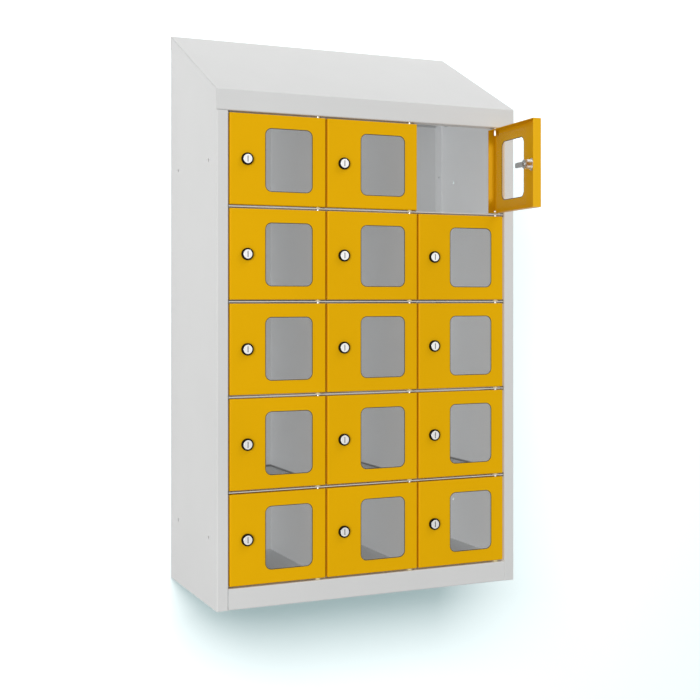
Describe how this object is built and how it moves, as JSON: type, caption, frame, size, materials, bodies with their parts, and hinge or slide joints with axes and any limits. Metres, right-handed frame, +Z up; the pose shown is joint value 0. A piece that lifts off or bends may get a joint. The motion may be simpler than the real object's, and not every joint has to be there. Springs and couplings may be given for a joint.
{
  "type": "cell phone locker box",
  "caption": "Wall-hung sheet-steel locker box with a sloping hood and a grid of small windowed doors, each on pivot pins with its own cam lock.",
  "frame": {"origin": "centre of the four wall fixing holes, on the rear face of the back panel", "axes": "+X to the right seen from the front, +Y into the wall, +Z up; the doors face -Y"},
  "size_m": [0.54, 0.4065, 0.9495],
  "materials": {
    "grey_powder_coat": "fine textured powder coat, satin",
    "yellow_powder_coat": "smooth powder coat, satin",
    "clear_acrylic": "clear, polished",
    "chromed_lock": "bright plated",
    "zinc_steel": "bright zinc",
    "white_nylon": "satin"
  },
  "bodies": {
    "cabinet": {"left_side": "grey_powder_coat", "right_side": "grey_powder_coat", "back_panel": "grey_powder_coat", "base_panel": "grey_powder_coat", "hood": "grey_powder_coat", "ceiling_panel": "grey_powder_coat", "divider_1": "grey_powder_coat", "divider_2": "grey_powder_coat", "shelf_1": "grey_powder_coat", "shelf_2": "grey_powder_coat", "shelf_3": "grey_powder_coat", "shelf_4": "grey_powder_coat", "hinge_pins": "zinc_steel", "hinge_washers": "white_nylon", "rivets": "zinc_steel"},
    "door_a1": {"door_a1": "yellow_powder_coat", "pane_a1": "clear_acrylic"},
    "lock_a1": {"lock_a1": "chromed_lock"},
    "door_b1": {"door_b1": "yellow_powder_coat", "pane_b1": "clear_acrylic"},
    "lock_b1": {"lock_b1": "chromed_lock"},
    "door_c1": {"door_c1": "yellow_powder_coat", "pane_c1": "clear_acrylic"},
    "lock_c1": {"lock_c1": "chromed_lock"},
    "door_a2": {"door_a2": "yellow_powder_coat", "pane_a2": "clear_acrylic"},
    "lock_a2": {"lock_a2": "chromed_lock"},
    "door_b2": {"door_b2": "yellow_powder_coat", "pane_b2": "clear_acrylic"},
    "lock_b2": {"lock_b2": "chromed_lock"},
    "door_c2": {"door_c2": "yellow_powder_coat", "pane_c2": "clear_acrylic"},
    "lock_c2": {"lock_c2": "chromed_lock"},
    "door_a3": {"door_a3": "yellow_powder_coat", "pane_a3": "clear_acrylic"},
    "lock_a3": {"lock_a3": "chromed_lock"},
    "door_b3": {"door_b3": "yellow_powder_coat", "pane_b3": "clear_acrylic"},
    "lock_b3": {"lock_b3": "chromed_lock"},
    "door_c3": {"door_c3": "yellow_powder_coat", "pane_c3": "clear_acrylic"},
    "lock_c3": {"lock_c3": "chromed_lock"},
    "door_a4": {"door_a4": "yellow_powder_coat", "pane_a4": "clear_acrylic"},
    "lock_a4": {"lock_a4": "chromed_lock"},
    "door_b4": {"door_b4": "yellow_powder_coat", "pane_b4": "clear_acrylic"},
    "lock_b4": {"lock_b4": "chromed_lock"},
    "door_c4": {"door_c4": "yellow_powder_coat", "pane_c4": "clear_acrylic"},
    "lock_c4": {"lock_c4": "chromed_lock"},
    "door_a5": {"door_a5": "yellow_powder_coat", "pane_a5": "clear_acrylic"},
    "lock_a5": {"lock_a5": "chromed_lock"},
    "door_b5": {"door_b5": "yellow_powder_coat", "pane_b5": "clear_acrylic"},
    "lock_b5": {"lock_b5": "chromed_lock"},
    "door_c5": {"door_c5": "yellow_powder_coat", "pane_c5": "clear_acrylic"},
    "lock_c5": {"lock_c5": "chromed_lock"}
  },
  "joints": [
    {"name": "door_a1_hinge", "type": "hinge", "parent": "cabinet", "child": "door_a1", "pos_m": [-0.0962, -0.2545, 0.3004], "axis": [0, 0, 1], "range_deg": [0, 110]},
    {"name": "lock_a1_turn", "type": "hinge", "parent": "door_a1", "child": "lock_a1", "pos_m": [-0.2202, -0.262, 0.3004], "axis": [0, 1, 0], "range_deg": [0, 180]},
    {"name": "door_b1_hinge", "type": "hinge", "parent": "cabinet", "child": "door_b1", "pos_m": [0.0705, -0.2545, 0.3004], "axis": [0, 0, 1], "range_deg": [0, 110]},
    {"name": "lock_b1_turn", "type": "hinge", "parent": "door_b1", "child": "lock_b1", "pos_m": [-0.0535, -0.262, 0.3004], "axis": [0, 1, 0], "range_deg": [0, 180]},
    {"name": "door_c1_hinge", "type": "hinge", "parent": "cabinet", "child": "door_c1", "pos_m": [0.2372, -0.2545, 0.3004], "axis": [0, 0, 1], "range_deg": [-85.6, 24.4]},
    {"name": "lock_c1_turn", "type": "hinge", "parent": "door_c1", "child": "lock_c1", "pos_m": [0.23517, -0.37871, 0.3004], "axis": [-0.9971, 0.0767, 0], "range_deg": [0, 180]},
    {"name": "door_a2_hinge", "type": "hinge", "parent": "cabinet", "child": "door_a2", "pos_m": [-0.0962, -0.2545, 0.1502], "axis": [0, 0, 1], "range_deg": [0, 110]},
    {"name": "lock_a2_turn", "type": "hinge", "parent": "door_a2", "child": "lock_a2", "pos_m": [-0.2202, -0.262, 0.1502], "axis": [0, 1, 0], "range_deg": [0, 180]},
    {"name": "door_b2_hinge", "type": "hinge", "parent": "cabinet", "child": "door_b2", "pos_m": [0.0705, -0.2545, 0.1502], "axis": [0, 0, 1], "range_deg": [0, 110]},
    {"name": "lock_b2_turn", "type": "hinge", "parent": "door_b2", "child": "lock_b2", "pos_m": [-0.0535, -0.262, 0.1502], "axis": [0, 1, 0], "range_deg": [0, 180]},
    {"name": "door_c2_hinge", "type": "hinge", "parent": "cabinet", "child": "door_c2", "pos_m": [0.2372, -0.2545, 0.1502], "axis": [0, 0, 1], "range_deg": [0, 110]},
    {"name": "lock_c2_turn", "type": "hinge", "parent": "door_c2", "child": "lock_c2", "pos_m": [0.1132, -0.262, 0.1502], "axis": [0, 1, 0], "range_deg": [0, 180]},
    {"name": "door_a3_hinge", "type": "hinge", "parent": "cabinet", "child": "door_a3", "pos_m": [-0.0962, -0.2545, 0], "axis": [0, 0, 1], "range_deg": [0, 110]},
    {"name": "lock_a3_turn", "type": "hinge", "parent": "door_a3", "child": "lock_a3", "pos_m": [-0.2202, -0.262, 0], "axis": [0, 1, 0], "range_deg": [0, 180]},
    {"name": "door_b3_hinge", "type": "hinge", "parent": "cabinet", "child": "door_b3", "pos_m": [0.0705, -0.2545, 0], "axis": [0, 0, 1], "range_deg": [0, 110]},
    {"name": "lock_b3_turn", "type": "hinge", "parent": "door_b3", "child": "lock_b3", "pos_m": [-0.0535, -0.262, 0], "axis": [0, 1, 0], "range_deg": [0, 180]},
    {"name": "door_c3_hinge", "type": "hinge", "parent": "cabinet", "child": "door_c3", "pos_m": [0.2372, -0.2545, 0], "axis": [0, 0, 1], "range_deg": [0, 110]},
    {"name": "lock_c3_turn", "type": "hinge", "parent": "door_c3", "child": "lock_c3", "pos_m": [0.1132, -0.262, 0], "axis": [0, 1, 0], "range_deg": [0, 180]},
    {"name": "door_a4_hinge", "type": "hinge", "parent": "cabinet", "child": "door_a4", "pos_m": [-0.0962, -0.2545, -0.1502], "axis": [0, 0, 1], "range_deg": [0, 110]},
    {"name": "lock_a4_turn", "type": "hinge", "parent": "door_a4", "child": "lock_a4", "pos_m": [-0.2202, -0.262, -0.1502], "axis": [0, 1, 0], "range_deg": [0, 180]},
    {"name": "door_b4_hinge", "type": "hinge", "parent": "cabinet", "child": "door_b4", "pos_m": [0.0705, -0.2545, -0.1502], "axis": [0, 0, 1], "range_deg": [0, 110]},
    {"name": "lock_b4_turn", "type": "hinge", "parent": "door_b4", "child": "lock_b4", "pos_m": [-0.0535, -0.262, -0.1502], "axis": [0, 1, 0], "range_deg": [0, 180]},
    {"name": "door_c4_hinge", "type": "hinge", "parent": "cabinet", "child": "door_c4", "pos_m": [0.2372, -0.2545, -0.1502], "axis": [0, 0, 1], "range_deg": [0, 110]},
    {"name": "lock_c4_turn", "type": "hinge", "parent": "door_c4", "child": "lock_c4", "pos_m": [0.1132, -0.262, -0.1502], "axis": [0, 1, 0], "range_deg": [0, 180]},
    {"name": "door_a5_hinge", "type": "hinge", "parent": "cabinet", "child": "door_a5", "pos_m": [-0.0962, -0.2545, -0.3004], "axis": [0, 0, 1], "range_deg": [0, 110]},
    {"name": "lock_a5_turn", "type": "hinge", "parent": "door_a5", "child": "lock_a5", "pos_m": [-0.2202, -0.262, -0.3004], "axis": [0, 1, 0], "range_deg": [0, 180]},
    {"name": "door_b5_hinge", "type": "hinge", "parent": "cabinet", "child": "door_b5", "pos_m": [0.0705, -0.2545, -0.3004], "axis": [0, 0, 1], "range_deg": [0, 110]},
    {"name": "lock_b5_turn", "type": "hinge", "parent": "door_b5", "child": "lock_b5", "pos_m": [-0.0535, -0.262, -0.3004], "axis": [0, 1, 0], "range_deg": [0, 180]},
    {"name": "door_c5_hinge", "type": "hinge", "parent": "cabinet", "child": "door_c5", "pos_m": [0.2372, -0.2545, -0.3004], "axis": [0, 0, 1], "range_deg": [0, 110]},
    {"name": "lock_c5_turn", "type": "hinge", "parent": "door_c5", "child": "lock_c5", "pos_m": [0.1132, -0.262, -0.3004], "axis": [0, 1, 0], "range_deg": [0, 180]}
  ]
}
